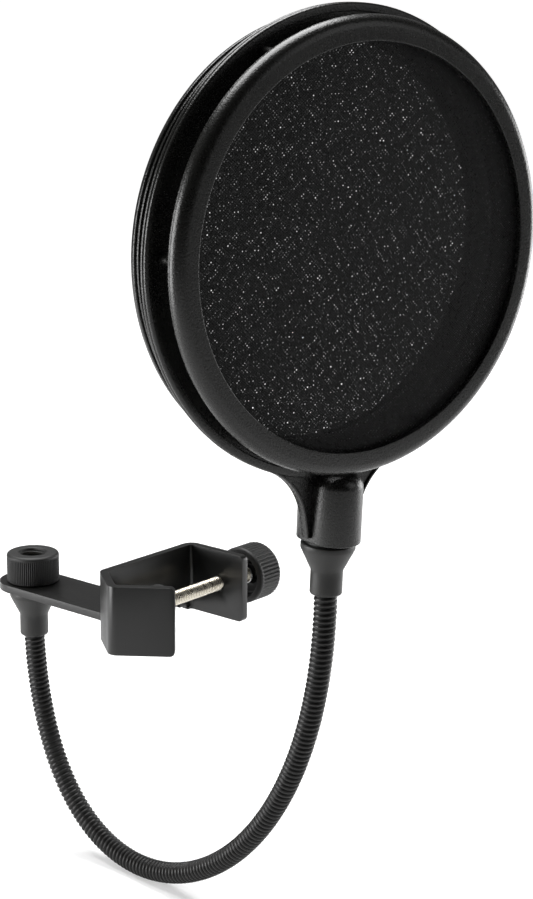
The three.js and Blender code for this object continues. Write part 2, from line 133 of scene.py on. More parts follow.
PEG = {"radius": 1.9, "low": 1.5, "high": 8.3, "sides": 48}
FERRULE = {
    "cylinder_radius": 6,
    "cylinder": 9.3,
    "flange_radius": 10.1,
    "cone": 8.3,
    "flange": 2,
    "collar_radius": 8.3,
    "collar": 0.8,
    "edge": 0.9,
    "bore": 5.1,
    "sides": 96,
}
NECK_ABOVE_MOUTH = 127.8  # from the upper ferrule's mouth to the head's centre
GOOSENECK = {
    "radius": 4.4,
    "in_ferrule": 8,
    "base_drop": 147,
    "neck_drop": 155,
    "bow": 6,
    "segments": 8,
    "pitch": 2.1,
    "depth": 0.75,
    "sides": 36,
    "chamfer": 0,
    "reach": 14,  # how far to each side of a joint the route is sampled
}
SCREW = {"radius": 2.9, "pitch": 1, "depth": 0.42, "sides": 40, "chamfer": 0.8}
STUD = {"radius": 4.8, "pitch": 1.5, "depth": 0.7, "sides": 40, "chamfer": 0.9}
PAD_EDGE = 0.8
PAD_FACE = 1.6  # thickness of the pad in front of the screw
BRACKET = {
    "weld": 0.02,  # points closer than this are made one
    "flat": 0.5,  # degrees between faces that are made one
    "edge": 0.55,
    "edge_steps": 4,
    "corner": 40,  # degrees between faces whose edge is rounded
}
FIT = 0.3  # room between a piece and what it sits in
KNOB = {
    "radius": 11.8,
    "recess": 9,
    "floor": 6,  # distances from its inner face
    "bore_end": 10.4,
    "bore": 4.5,
    "edge": 1.6,
    "ribs": 44,
    "rib_depth": 0.55,
}
BUSH_BORE = 3.2
NUT = {
    "radius": 11.1,
    "top": 2,
    "bottom": -10.35,
    "seat": -8.95,
    "counterbore": 9.4,
    "bore": 5.1,
    "mouth": 0.85,
    "edge": 1.4,
    "ribs": 78,
    "rib_depth": 0.42,
    "thread_pitch": 1.5,
    "thread_depth": 0.55,
}

WEAVE = {
    "slope": 52,  # degrees
    "threads": 0.42,  # scales per millimetre, because the screens carry their own flat map in millimetres
    "holes": 0.95,
    "hole": 0.36,  # a pinhole's radius, as a share of the distance between two
    "closed": 0.2,  # the share of pinholes that are shut
    "sheer": 0.022,  # the share of light that passes between the pinholes
}

CAMERA_PLACE = (-541.3, -511.6, 249.3)
CAMERA_LOOK = (0.7485, 0.6183, -0.2401)
CAMERA_ROLL = 0.5  # degrees
CAMERA_LENS = 80.09

WORLD = {
    "near": 0.015,  # strength of its light around the camera and behind the object
    "far": 0.15,
    "starts": 0.1,  # cosines from the camera's level heading, between which the strength rises
    "ends": 0.95,
}
FLOOR = {
    "radius": 60,  # metres
    "middle": 0.3,  # strength of its glow in the middle and far away
    "edge": 1,
    "starts": 0.3,  # metres from the middle, between which the strength rises
    "ends": 2,
}
SOFTBOXES = {  # direction from the object, distance, width and height in metres, and power in watts
    "left": ((-0.74, 0.66, 0.12), 0.75, 0.42, 0.5, 5.6),
    "right": ((0.93, -0.37, 0.03), 0.8, 0.5, 0.36, 3.0),
    "fill": ((0.32, -0.84, 0.42), 1.4, 0.7, 0.9, 1.7),
    "top": ((0.12, 0.3, 0.95), 1.3, 1.1, 1.0, 30),
}

THREAD = (0, 0.3, 0.75, 1, 1, 0.75, 0.3, 0)  # heights over one pitch, from the root at 0 to the crest at 1
SHARP = 35  # degrees: a mesh is shaded smooth except where it turns by more
KNURL_SHARP = 50

# ---------- shapes ----------


def arc(x, y, radius, start, end, steps):
    """Points of an arc, both ends included, with angles in degrees."""
    angles = [math.radians(start + (end - start) * i / steps) for i in range(steps + 1)]
    return [(x + radius * math.cos(a), y + radius * math.sin(a)) for a in angles]


def subdivided(points, longest):
    """The same outline with its long edges broken up."""
    out = []
    for (x0, y0), (x1, y1) in zip(points, points[1:]):
        steps = max(1, math.ceil(math.hypot(x1 - x0, y1 - y0) / longest))
        out += [(x0 + (x1 - x0) * i / steps, y0 + (y1 - y0) * i / steps) for i in range(steps)]
    return out + [points[-1]]


def revolved(section, sides, relief=None, ring=False):
    """Turns (radius, height) points about Z. relief(radius, height, angle) may change a point's radius.
    A ring's section closes on itself, and a solid's section starts and ends on the axis."""
    points, faces, rows = [], [], []
    on_axis = 1e-6
    for radius, height in section:
        if radius < on_axis:
            rows.append([len(points)] * sides)
            points.append((0, 0, height))
            continue
        rows.append(list(range(len(points), len(points) + sides)))
        for side in range(sides):
            angle = 2 * math.pi * side / sides
            r = relief(radius, height, angle) if relief else radius
            points.append((r * math.cos(angle), r * math.sin(angle), height))
    pairs = list(zip(rows, rows[1:]))
    if ring:
        pairs.append((rows[-1], rows[0]))
    for low, high in pairs:
        for side in range(sides):
            after = (side + 1) % sides
            corners = [low[side], low[after], high[after], high[side]]
            face = [c for i, c in enumerate(corners) if c not in corners[:i]]
            if len(face) > 2:
                faces.append(face)
    return points, faces


def helical_rod(rod, low, high, profile):
    """A rod on Z whose surface rises and falls along a right-handed helix. profile lists heights over one
    pitch, from 0 at the root to 1 at the crest. Returns a bmesh with flat closed ends and the heights as a
    layer."""
    radius, depth, pitch, sides, chamfer = (
        rod[value] for value in ("radius", "depth", "pitch", "sides", "chamfer")
    )
    bm = bmesh.new()
    crest = bm.verts.layers.float.new("crest")
    steps = len(profile)
    first = math.floor(low / pitch - 1.5) * steps
    count = (math.ceil((high - low) / pitch) + 3) * steps
    rows = []
    for row in range(first, first + count):
        rise = profile[row % steps]
        line = []
        for side in range(sides):
            z = pitch * (row / steps + side / sides)
            limit = radius - chamfer + max(0, min(z - low, high - z))
            r = min(radius - depth * (1 - rise), limit) if chamfer else radius - depth * (1 - rise)
            angle = 2 * math.pi * side / sides
            vert = bm.verts.new((r * math.cos(angle), r * math.sin(angle), z))
            vert[crest] = rise
            line.append(vert)
        rows.append(line)
    for row in range(count - steps - 1):
        for side in range(sides):
            last = side == sides - 1
            after = 0 if last else side + 1
            shift = steps if last else 0
            below, above = rows[row + shift], rows[row + 1 + shift]
            corners = (rows[row][side], below[after], above[after], rows[row + 1][side])
            bm.faces.new(corners).smooth = True
    for height, outward in ((low, -1), (high, 1)):
        geometry = bm.verts[:] + bm.edges[:] + bm.faces[:]
        plane = {"plane_co": (0, 0, height), "plane_no": (0, 0, outward)}
        cut = bmesh.ops.bisect_plane(bm, geom=geometry, clear_outer=True, **plane)
        edges = [e for e in cut["geom_cut"] if isinstance(e, bmesh.types.BMEdge)]
        bmesh.ops.contextual_create(bm, geom=edges)
    bmesh.ops.recalc_face_normals(bm, faces=bm.faces)
    return bm



# ---------- pieces ----------

materials = {}
nodes = frame["nodes"]


def finished(obj, material, body, node_name):
    """Gives a piece its material and body, and hides the CAD node that it stands for."""
    obj.data.materials.clear()
    obj.data.materials.append(materials[material])
    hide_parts(node_name)
    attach(obj, body)
    return obj


def coloured_node(name, material):
    """Gives a CAD node that stays in view its material."""
    kept = nodes[name]
    kept.data.materials.clear()
    kept.data.materials.append(materials[material])
    return kept


def mesh_object(name, points, faces, place, sharp=SHARP):
    """A mesh in the row frame from points in millimetres, with edges kept sharp past an angle in degrees."""
    mesh = bpy.data.meshes.new(name)
    flat = np.array(points, float)
    matrix = np.array(place, float)
    world = flat @ matrix[:3, :3].T * MM + matrix[:3, 3]
    mesh.from_pydata(world.tolist(), [], faces)
    mesh.validate()
    bm = bmesh.new()
    bm.from_mesh(mesh)
    bmesh.ops.recalc_face_normals(bm, faces=bm.faces)
    if all(edge.is_manifold for edge in bm.edges) and bm.calc_volume(signed=True) < 0:
        bmesh.ops.reverse_faces(bm, faces=bm.faces)
    bm.to_mesh(mesh)
    bm.free()
    mesh.shade_smooth()
    mesh.set_sharp_from_angle(angle=math.radians(sharp))
    obj = bpy.data.objects.new(name, mesh)
    bpy.context.scene.collection.objects.link(obj)
    return obj


def bmesh_object(name, bm, place):
    """A mesh in the row frame from a bmesh in millimetres, which is freed."""
    matrix = Matrix(place) @ Matrix.Scale(MM, 4)
    bm.transform(matrix)
    mesh = bpy.data.meshes.new(name)
    bm.to_mesh(mesh)
    bm.free()
    obj = bpy.data.objects.new(name, mesh)
    bpy.context.scene.collection.objects.link(obj)
    return obj


def combined(base, others):
    """base with each (object, operation) joined or cut, as a new mesh. The others are removed."""
    for other, operation in others:
        boolean = base.modifiers.new("boolean", "BOOLEAN")
        boolean.operation = operation
        boolean.solver = "MANIFOLD"
        boolean.object = other
    bpy.context.view_layer.update()
    graph = bpy.context.evaluated_depsgraph_get()
    mesh = bpy.data.meshes.new_from_object(base.evaluated_get(graph))
    base.modifiers.clear()
    base.data = mesh
    for other, _ in others:
        bpy.data.objects.remove(other)
    mesh.shade_smooth()
    mesh.set_sharp_from_angle(angle=math.radians(SHARP))
    return base


# ---------- materials ----------


def graph_of(name):
    """A new material's node tree, emptied but for its shader and output."""
    material = bpy.data.materials.new(name)
    material.use_nodes = True
    materials[name] = material
    tree = material.node_tree
    return tree, tree.nodes["Principled BSDF"]


def node(tree, kind, links=None, **values):
    """A node with its settings, input values and incoming links. Inputs have underscores for spaces."""
    made = tree.nodes.new("ShaderNode" + kind)
    for key, value in values.items():
        socket = made.inputs.get(key.replace("_", " ")) if key[0].isupper() else None
        if socket is not None:
            socket.default_value = value
        else:
            setattr(made, key, value)
    for key, source in (links or {}).items():
        tree.links.new(source, made.inputs[key])
    return made


def noise(tree, scale, detail=3):
    """Noise whose features are about 1 / scale of a metre across."""
    where = node(tree, "TexCoord").outputs["Object"]
    made = node(tree, "TexNoise", {"Vector": where}, Scale=scale, Detail=detail, Roughness=0.55)
    return made.outputs["Fac"]


def ramp(tree, factor, low, high, start=0.3, end=0.7):
    """factor from start to end as a value from low to high."""
    limits = {"From_Min": start, "From_Max": end, "To_Min": low, "To_Max": high}
    return node(tree, "MapRange", {"Value": factor}, **limits).outputs["Result"]


def tint(tree, factor, low, high, start=0.3, end=0.7):
    """factor from start to end as a colour from low to high."""
    made = node(tree, "ValToRGB", {"Fac": factor})
    for stop, position, colour in zip(made.color_ramp.elements, (start, end), (low, high)):
        stop.position = position
        stop.color = (*colour, 1)
    return made.outputs["Color"]


def bumped(tree, shader, layers):
    """Bump from several (height, distance in millimetres) layers, one after another."""
    normal = None
    for height, distance in layers:
        links = {"Height": height}
        if normal:
            links["Normal"] = normal
        normal = node(tree, "Bump", links, Distance=distance * MM, Strength=1.0).outputs["Normal"]
    tree.links.new(normal, shader.inputs["Normal"])


def moulded(name, dark, light, rough, grain, grain_size, patch=30):
    """Black moulded plastic or paint: a fine grain, and slow changes in colour and gloss. The grain's depth
    and size are in millimetres, and patch is how many slow changes go in a metre."""
    tree, shader = graph_of(name)
    slow = noise(tree, patch)
    fine = noise(tree, 1 / (grain_size * MM), detail=2)
    tree.links.new(tint(tree, slow, dark, light), shader.inputs["Base Color"])
    worn = node(tree, "Math", {0: slow, 2: fine}, operation="MULTIPLY_ADD")
    worn.inputs[1].default_value = 0.6
    tree.links.new(ramp(tree, worn.outputs[0], rough[0], rough[1], 0.5, 1.1), shader.inputs["Roughness"])
    shader.inputs["Specular IOR Level"].default_value = 0.5
    bumped(tree, shader, [(fine, grain)])


def metal(name, root, crest, rough, scratch):
    """Plated metal: darker in the roots of a thread, with fine scratches."""
    tree, shader = graph_of(name)
    height = node(tree, "Attribute", attribute_name="crest").outputs["Fac"]
    stain = noise(tree, 350)
    tree.links.new(tint(tree, height, root, crest, 0.0, 0.8), shader.inputs["Base Color"])
    tree.links.new(ramp(tree, stain, rough[0], rough[1]), shader.inputs["Roughness"])
    shader.inputs["Metallic"].default_value = 1
    bumped(tree, shader, [(noise(tree, 4000, detail=4), scratch)])


def coil(name):
    """Black-finished spring wire: glossy crests that are a little worn, dull dusty grooves."""
    tree, shader = graph_of(name)
    height = node(tree, "Attribute", attribute_name="crest").outputs["Fac"]
    patches = noise(tree, 160)
    wear = node(tree, "Math", {0: height, 1: patches}, operation="MULTIPLY")
    colour = tint(tree, wear.outputs[0], (0.001, 0.001, 0.001), (0.011, 0.010, 0.009), 0.15, 0.75)
    tree.links.new(colour, shader.inputs["Base Color"])
    tree.links.new(ramp(tree, wear.outputs[0], 0.6, 0.28, 0.05, 0.6), shader.inputs["Roughness"])
    shader.inputs["Specular IOR Level"].default_value = 0.4
    bumped(tree, shader, [(noise(tree, 2500), 0.02)])


def woven(name):
    """Fine black nylon: threads on both diagonals, with scattered pinholes that let the light through."""
    tree, shader = graph_of(name)
    where = node(tree, "UVMap", uv_map="flat").outputs["UV"]
    diagonals = [
        node(tree, "Mapping", {"Vector": where}, Rotation=(0, 0, math.radians(slope))).outputs["Vector"]
        for slope in (WEAVE["slope"], -WEAVE["slope"])
    ]
    threads = []
    for diagonal in diagonals:
        wave = node(tree, "TexWave", {"Vector": diagonal}, bands_direction="X")
        for socket, value in (("Scale", WEAVE["threads"]), ("Distortion", 0.8), ("Detail", 1.5)):
            wave.inputs[socket].default_value = value
        threads.append(wave.outputs["Fac"])
    cloth = node(tree, "Math", {0: threads[0], 1: threads[1]}, operation="MAXIMUM").outputs[0]
    holes = node(tree, "TexVoronoi", {"Vector": diagonals[0]}, Scale=WEAVE["holes"], Randomness=0.25)
    chance = node(tree, "SeparateColor", {"Color": holes.outputs["Color"]}).outputs["Red"]
    core = ramp(tree, holes.outputs["Distance"], 1, 0, WEAVE["hole"] * 0.5, WEAVE["hole"])
    is_open = ramp(tree, chance, 0, 1, WEAVE["closed"], 1)
    clear = node(tree, "Math", {0: core, 1: is_open}, operation="MULTIPLY_ADD")
    clear.inputs[2].default_value = WEAVE["sheer"]
    colour = tint(tree, cloth, (0.0015, 0.0015, 0.0015), (0.009, 0.009, 0.009), 0.2, 0.95)
    tree.links.new(colour, shader.inputs["Base Color"])
    tree.links.new(ramp(tree, cloth, 0.8, 0.55, 0.2, 0.9), shader.inputs["Roughness"])
    shader.inputs["Specular IOR Level"].default_value = 0.12
    bumped(tree, shader, [(cloth, 0.05)])
    through = node(tree, "BsdfTransparent")
    mix = node(tree, "MixShader", {0: clear.outputs[0], 1: shader.outputs[0], 2: through.outputs[0]})
    output = next(n for n in tree.nodes if n.type == "OUTPUT_MATERIAL")
    tree.links.new(mix.outputs[0], output.inputs["Surface"])


moulded("head_black", (0.006, 0.006, 0.0055), (0.009, 0.009, 0.008), (0.24, 0.32), 0.1, 0.7)
moulded("ferrule_black", (0.010, 0.010, 0.009), (0.015, 0.015, 0.014), (0.38, 0.50), 0.06, 0.5)
moulded("knob_black", (0.005, 0.005, 0.0047), (0.008, 0.008, 0.0075), (0.46, 0.60), 0.06, 0.4)
moulded("bracket_black", (0.004, 0.004, 0.0038), (0.006, 0.006, 0.0057), (0.28, 0.34), 0.008, 1.2, patch=18)
moulded("rubber", (0.006, 0.006, 0.006), (0.012, 0.012, 0.012), (0.6, 0.8), 0.04, 0.5)
metal("nickel", (0.30, 0.25, 0.17), (0.95, 0.90, 0.78), (0.22, 0.34), 0.004)
metal("chrome", (0.7, 0.7, 0.7), (0.82, 0.82, 0.82), (0.06, 0.14), 0.004)
coil("coil_black")
woven("nylon")

# ---------- where things are ----------

joints = {j["name"]: j for j in frame["joints"]}


def middle(name):
    low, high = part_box(name)
    return (low + high) / 2


def placed(x, y, z, origin):
    """A matrix whose columns are three directions and an origin."""
    matrix = Matrix.Identity(4)
    for column, vector in enumerate((x, y, z, origin)):
        for row in range(3):
            matrix[row][column] = vector[row]
    return matrix


front_middle, rear_middle = middle("front_screen"), middle("rear_screen")
head_centre = (front_middle + rear_middle) / 2
forward = (front_middle - rear_middle).normalized()
up = Vector(joints["head_swivel"]["axis"])
up = (up - forward * up.dot(forward)).normalized()
right = up.cross(forward)

head_upright = placed(right, -forward, up, head_centre)
side_places = {
    "front": placed(right, up, forward, head_centre),
    "rear": placed(-right, up, -forward, head_centre),
}
neck_mouth = head_centre - up * (NECK_ABOVE_MOUTH * MM)
neck_place = placed(right, -forward, up, neck_mouth)
nut_middle = middle("lock_nut")
stud_place = Matrix.Translation((nut_middle.x, nut_middle.y, 0))
screw_middle = middle("clamp_screw")
screw_place = placed((0, 1, 0), (0, 0, 1), (1, 0, 0), (0, screw_middle.y, screw_middle.z))
base_mouth = Vector((nut_middle.x, nut_middle.y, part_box("lower_ferrule")[0].z))

# ---------- clamp ----------


def softened_bracket():
    """The CAD bracket stays. Its flat faces are made whole again, and its edges are rounded by its paint."""
    bracket = coloured_node("clamp_bracket", "bracket_black")
    weld = bracket.modifiers.new("weld", "WELD")
    weld.merge_threshold = BRACKET["weld"] * MM
    whole = bracket.modifiers.new("whole", "DECIMATE")
    whole.decimate_type = "DISSOLVE"
    whole.angle_limit = math.radians(BRACKET["flat"])
    bevel = bracket.modifiers.new("bevel", "BEVEL")
    bevel.width = BRACKET["edge"] * MM
    bevel.segments = BRACKET["edge_steps"]
    bevel.limit_method = "ANGLE"
    bevel.angle_limit = math.radians(BRACKET["corner"])
    bevel.harden_normals = True
    bracket.data.shade_smooth()


def along_screw(name):
    """Where a turned piece starts and ends along the clamp screw, and its radius, in millimetres."""
    low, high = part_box(name)
    return low.x / MM, high.x / MM, (high.z - low.z) / 2 / MM


def clamp_pieces():
    low, high, _ = along_screw("clamp_screw")
    screw = bmesh_object("screw_thread", helical_rod(SCREW, low, high, THREAD), screw_place)
    finished(screw, "nickel", "spindle", "clamp_screw")

    low, high, radius = along_screw("screw_pad")
    socket = SCREW["radius"] + FIT
    socket_floor = low + PAD_FACE
    section = [
        (0, low),
        *arc(radius - PAD_EDGE, low + PAD_EDGE, PAD_EDGE, -90, 0, 6),
        *arc(radius - PAD_EDGE, high - PAD_EDGE, PAD_EDGE, 0, 90, 6),
        (socket + 0.4, high),
        (socket, high - 0.4),
        (socket, socket_floor),
        (0, socket_floor),
    ]
    points, faces = revolved(section, 96)
    pad = mesh_object("pad_rubber", points, faces, screw_place)
    finished(pad, "rubber", "pad", "screw_pad")

    low, high, radius = along_screw("knob_bush")
    section = [
        (BUSH_BORE, low + 0.4),
        (BUSH_BORE + 0.4, low),
        *arc(radius - 0.5, low + 0.5, 0.5, -90, 0, 5),
        (radius, high),
        (BUSH_BORE, high),
    ]
    points, faces = revolved(section, 72, ring=True)
    bush = mesh_object("bush_ring", points, faces, screw_place)
    finished(bush, "chrome", "spindle", "knob_bush")

    finished(knob_piece(), "knob_black", "spindle", "clamp_knob")


def rib(angle, count):
    """0 in the grooves and 1 on the rounded ribs, for a knurl with that many ribs around."""
    return abs(math.sin(angle * count / 2)) ** 0.7


def faded(value, low, high):
    """0 up to low, 1 from high, smooth between."""
    t = min(1, max(0, (value - low) / (high - low)))
    return t * t * (3 - 2 * t)


def knob_piece():
    k = KNOB
    inner, outer, _ = along_screw("clamp_knob")
    hollow_floor, bore_end = inner + k["floor"], inner + k["bore_end"]
    edge = k["edge"]

    def relief(radius, height, angle):
        grip = faded(radius, k["radius"] - 1.1, k["radius"] - 0.5)
        grip *= faded(height, inner + 1.3, inner + 1.9)
        grip *= 1 - faded(height, outer - 0.9, outer - 0.2)
        return radius - k["rib_depth"] * grip * (1 - rib(angle, k["ribs"]))

    section = [
        (0, bore_end),
        (k["bore"], bore_end),
        (k["bore"], hollow_floor + 0.4),
        (k["bore"] + 0.4, hollow_floor),
        (k["recess"] - 1, hollow_floor),
        *arc(k["recess"] - 1, hollow_floor - 1, 1, 90, 0, 5)[1:],
        *arc(k["recess"] + 0.5, inner + 0.5, 0.5, 180, 270, 4),
        *arc(k["radius"] - 0.9, inner + 0.9, 0.9, -90, 0, 6),
        *arc(k["radius"] - edge, outer - edge, edge, 0, 90, 10),
        (k["radius"] - edge - 2, outer - 0.1),
        *arc(6.2, outer - 0.45, 0.4, 90, 180, 4),
        (0, outer - 0.5),
    ]
    points, faces = revolved(subdivided(section, 0.45), k["ribs"] * 8, relief)
    return mesh_object("knob_grip", points, faces, screw_place, sharp=KNURL_SHARP)


def nut_piece():
    n = NUT

    def relief(radius, height, angle):
        if radius < n["bore"] + 0.2:
            turn = (height / n["thread_pitch"] - angle / (2 * math.pi)) % 1
            return radius + n["thread_depth"] * faded(1 - abs(2 * turn - 1), 0.15, 0.85)
        grip = faded(radius, n["radius"] - 0.9, n["radius"] - 0.3)
        grip *= 1 - faded(height, n["top"] - 2.2, n["top"] - 1.2)
        grip *= faded(height, n["bottom"] + 0.2, n["bottom"] + 0.8)
        return radius - n["rib_depth"] * grip * (1 - rib(angle, n["ribs"]))

    bore = subdivided([(n["bore"], n["top"] - n["mouth"]), (n["bore"], n["seat"])], 0.15)
    outside = [
        (n["counterbore"], n["seat"]),
        (n["counterbore"], n["bottom"]),
        *arc(n["radius"] - 0.6, n["bottom"] + 0.6, 0.6, -90, 0, 4),
        *arc(n["radius"] - n["edge"], n["top"] - n["edge"], n["edge"], 0, 90, 8),
        (n["bore"] + n["mouth"] + 0.25, n["top"]),
        (n["bore"] + n["mouth"], n["top"] - 0.1),
    ]
    points, faces = revolved(bore + subdivided(outside, 0.5), n["ribs"] * 5, relief, ring=True)
    return mesh_object("nut_grip", points, faces, stud_place, sharp=KNURL_SHARP)


def studs():
    for name, node_name, body, place in (
        ("lower_stud_thread", "lower_stud", "neck_base", stud_place),
        ("upper_stud_thread", "upper_stud", "neck_top", neck_place),
    ):
        along = place.to_3x3() @ Vector((0, 0, 1))
        heights = [(v.co - place.translation).dot(along) / MM for v in nodes[node_name].data.vertices]
        rod = helical_rod(STUD, min(heights), max(heights), THREAD)
        finished(bmesh_object(name, rod, place), "nickel", body, node_name)


def ferrule_piece(name, place):
    f = FERRULE
    cone_top = f["cylinder"] + f["cone"]
    top = cone_top + f["flange"]
    mouth = GOOSENECK["radius"] + FIT
    step = GOOSENECK["in_ferrule"] + FIT
    section = [
        (mouth, 0.5),
        (mouth + 0.5, 0),
        *arc(f["cylinder_radius"] - f["edge"], f["edge"], f["edge"], -90, 0, 6),
        (f["cylinder_radius"], f["cylinder"] - 0.3),
        (f["cylinder_radius"] + 0.15, f["cylinder"] + 0.3),
        (f["flange_radius"] - 0.2, cone_top - 0.4),
        (f["flange_radius"], cone_top + 0.1),
        *arc(f["flange_radius"] - 0.5, top - 0.5, 0.5, 0, 90, 5),
        (f["collar_radius"] + 0.1, top),
        (f["collar_radius"], top + 0.1),
        (f["collar_radius"], top + f["collar"]),
        (f["bore"], top + f["collar"]),
        (f["bore"], step),
        (mouth, step),
    ]
    points, faces = revolved(subdivided(section, 2), f["sides"], ring=True)
    return mesh_object(name, points, faces, place)


# ---------- gooseneck ----------


class Route:
    """The gooseneck's centre line by distance along it, in millimetres. It is straight in both ferrules, with
    one loop between them."""

    def __init__(self):
        g = GOOSENECK
        start, end = base_mouth / MM, neck_mouth / MM
        chord = end - start
        chord.z = 0
        chord.normalize()
        vertical = Vector((0, 0, 1))
        bow = -chord.cross(vertical) * g["bow"]
        self.sideways = chord.cross(-vertical)
        first = start - vertical * g["base_drop"] + bow
        second = end - up * g["neck_drop"] + bow
        t = np.linspace(0, 1, 2001)[:, None]
        p0, p1, p2, p3 = (np.array(p, float) for p in (start, first, second, end))
        loop = p0 * (1 - t) ** 3 + 3 * p1 * t * (1 - t) ** 2 + 3 * p2 * t**2 * (1 - t) + p3 * t**3
        low = np.array(start + vertical * g["in_ferrule"], float)
        high = np.array(end + up * g["in_ferrule"], float)
        line = np.vstack([low, loop, high])
        self.line = line
        self.marks = np.concatenate([[0], np.cumsum(np.linalg.norm(np.diff(line, axis=0), axis=1))])
        self.length = float(self.marks[-1])

    def at(self, distance):
        """(points, in-plane directions, sideways directions) at distances along the route."""
        near = 0.4
        points, ahead, behind = (
            np.column_stack([np.interp(distance + shift, self.marks, self.line[:, i]) for i in range(3)])
            for shift in (0, near, -near)
        )
        tangent = ahead - behind
        tangent /= np.linalg.norm(tangent, axis=1)[:, None]
        in_plane = np.cross(tangent, np.array(self.sideways, float))
        in_plane /= np.linalg.norm(in_plane, axis=1)[:, None]
        return points, in_plane, np.cross(in_plane, tangent)


def gooseneck_piece(name, route, low, high):
    """The winding from one distance to another: a rod with helical ridges, bent onto the route."""
    steps, fullness = 12, 0.8
    ridge = [math.sin(math.pi * (i + 0.5) / steps) ** fullness for i in range(steps)]
    bm = helical_rod(GOOSENECK, low, high, ridge)
    bm.verts.ensure_lookup_table()
    flat = np.array([v.co for v in bm.verts])
    points, in_plane, sideways = route.at(flat[:, 2])
    bent = points + flat[:, :1] * sideways + flat[:, 1:2] * in_plane
    for vert, co in zip(bm.verts, bent):
        vert.co = co
    obj = bmesh_object(name, bm, Matrix.Identity(4))
    obj.data.materials.append(materials["coil_black"])
    return obj


def gooseneck():
    """The neck's ends ride on its end bodies. Between them, each piece spans one of its hinges."""
    route = Route()
    segments, reach = GOOSENECK["segments"], GOOSENECK["reach"]
    length = route.length / segments
    bodies = ["neck_base", *(f"neck_{i}" for i in range(2, segments)), "neck_top"]
    last = len(bodies) - 1
    ends = (("coil_base", 0, 0.5 * length, 0), ("coil_top", (last + 0.5) * length, route.length, last))
    for name, low, high, index in ends:
        piece = gooseneck_piece(name, route, low, high)
        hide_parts(f"gooseneck_{index + 1}")
        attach(piece, bodies[index])
    for i in range(last):
        piece = gooseneck_piece(f"coil_bend_{i + 1}", route, (i + 0.5) * length, (i + 1.5) * length)
        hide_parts(f"gooseneck_{i + 1}", f"gooseneck_{i + 2}")
        hinge = (i + 1) * length
        start, end = (Vector(route.at(np.array([hinge + s * reach]))[0][0]) * MM for s in (-1, 1))
        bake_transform(piece)


# ---------- head ----------


def hoop_piece(side):
    h = HOOP
    crown_start = h["back"] + h["back_edge"]
    front = crown_start + h["crown"]
    wall = h["radius"] - h["wall"]
    section = [
        (wall, h["back"] + 0.2),
        (wall + 0.2, h["back"]),
        *arc(h["radius"] - h["back_edge"], crown_start, h["back_edge"], -90, 0, 5),
        *arc(h["radius"] - h["crown"], crown_start, h["crown"], 0, 90, 18)[1:],
        *arc(h["lip_radius"] + h["lip_edge"], front - h["lip_edge"], h["lip_edge"], 90, 180, 8),
        (h["lip_radius"], front - h["face"]),
        (wall, front - h["face"]),
    ]
    points, faces = revolved(section, h["sides"], ring=True)
    return mesh_object(f"{side}_hoop_moulding", points, faces, side_places[side])


def retainer_piece(side):
    r = RETAINER
    flange_top = r["back"] + r["flange"]
    section = [
        *arc(r["inner"] + 0.4, r["back"] + 0.4, 0.4, 180, 270, 4),
        *arc(r["flange_radius"] - 0.3, r["back"] + 0.3, 0.3, -90, 0, 4),
        *arc(r["flange_radius"] - 0.3, flange_top - 0.3, 0.3, 0, 90, 4),
        (r["outer"], flange_top),
        (r["outer"], r["front"]),
        (r["inner"], r["front"]),
    ]
    points, faces = revolved(section, r["sides"], ring=True)
    return mesh_object(f"{side}_retainer_ring", points, faces, side_places[side])


def peg_piece(side, index):
    """A peg with a chamfered tip and a small shoulder at the retainer."""
    where = middle(f"{side}_peg_{index}")
    offset = (where - head_centre).dot(side_places[side].to_3x3() @ Vector((0, 0, 1)))
    place = side_places[side].copy()
    place.translation = where - place.to_3x3() @ Vector((0, 0, offset))
    r = PEG["radius"]
    section = [
        (0, PEG["low"]),
        *arc(r - 0.5, PEG["low"] + 0.5, 0.5, -90, 0, 4),
        (r - 0.08, PEG["high"] - 1.3),
        (r, PEG["high"] - 1.1),
        (r, PEG["high"]),
        (0, PEG["high"]),
    ]
    points, faces = revolved(subdivided(section, 1), PEG["sides"])
    return mesh_object(f"{side}_pin_{index}", points, faces, place)


def screen_piece(side):
    """A stretched disc with a flat map in millimetres, for the weave."""
    s = SCREEN
    height = s["front"] - s["half"]
    radii = [s["radius"] * (i / s["rings"]) for i in range(s["rings"] + 1)]
    points, faces = revolved([(r, height) for r in radii], s["sides"])
    obj = mesh_object(f"{side}_nylon", points, faces, side_places[side])
    layer = obj.data.uv_layers.new(name="flat")
    inverse = side_places[side].inverted()
    for loop in obj.data.loops:
        local = inverse @ obj.data.vertices[loop.vertex_index].co
        layer.data[loop.index].uv = (local.x / MM, local.y / MM)
    return obj


def yoke_outline(inset):
    """The yoke's outline in x and z, drawn in on every side, and how many points each of its sides has."""
    y, bottom = YOKE, BARREL["bottom"] + 2 + inset
    reach = FRAME_RING["rim"] + y["sweep"]
    start = math.radians(y["start"])
    x, z = reach * math.sin(start), -reach * math.cos(start)
    side = arc(x, z, y["sweep"] + inset, 90 + y["start"], 90 + y["side"], 24)
    end_x, end_z = side[-1]
    side.append((end_x - (end_z - bottom) / math.tan(math.radians(y["side"])), bottom))
    radius = y["top_radius"] + inset
    half = y["start"] - math.degrees(inset / radius)
    top = arc(0, 0, radius, -90 - half, -90 + half, 24)
    mirrored = [(-px, pz) for px, pz in reversed(side)]
    return side + mirrored + top, len(side)


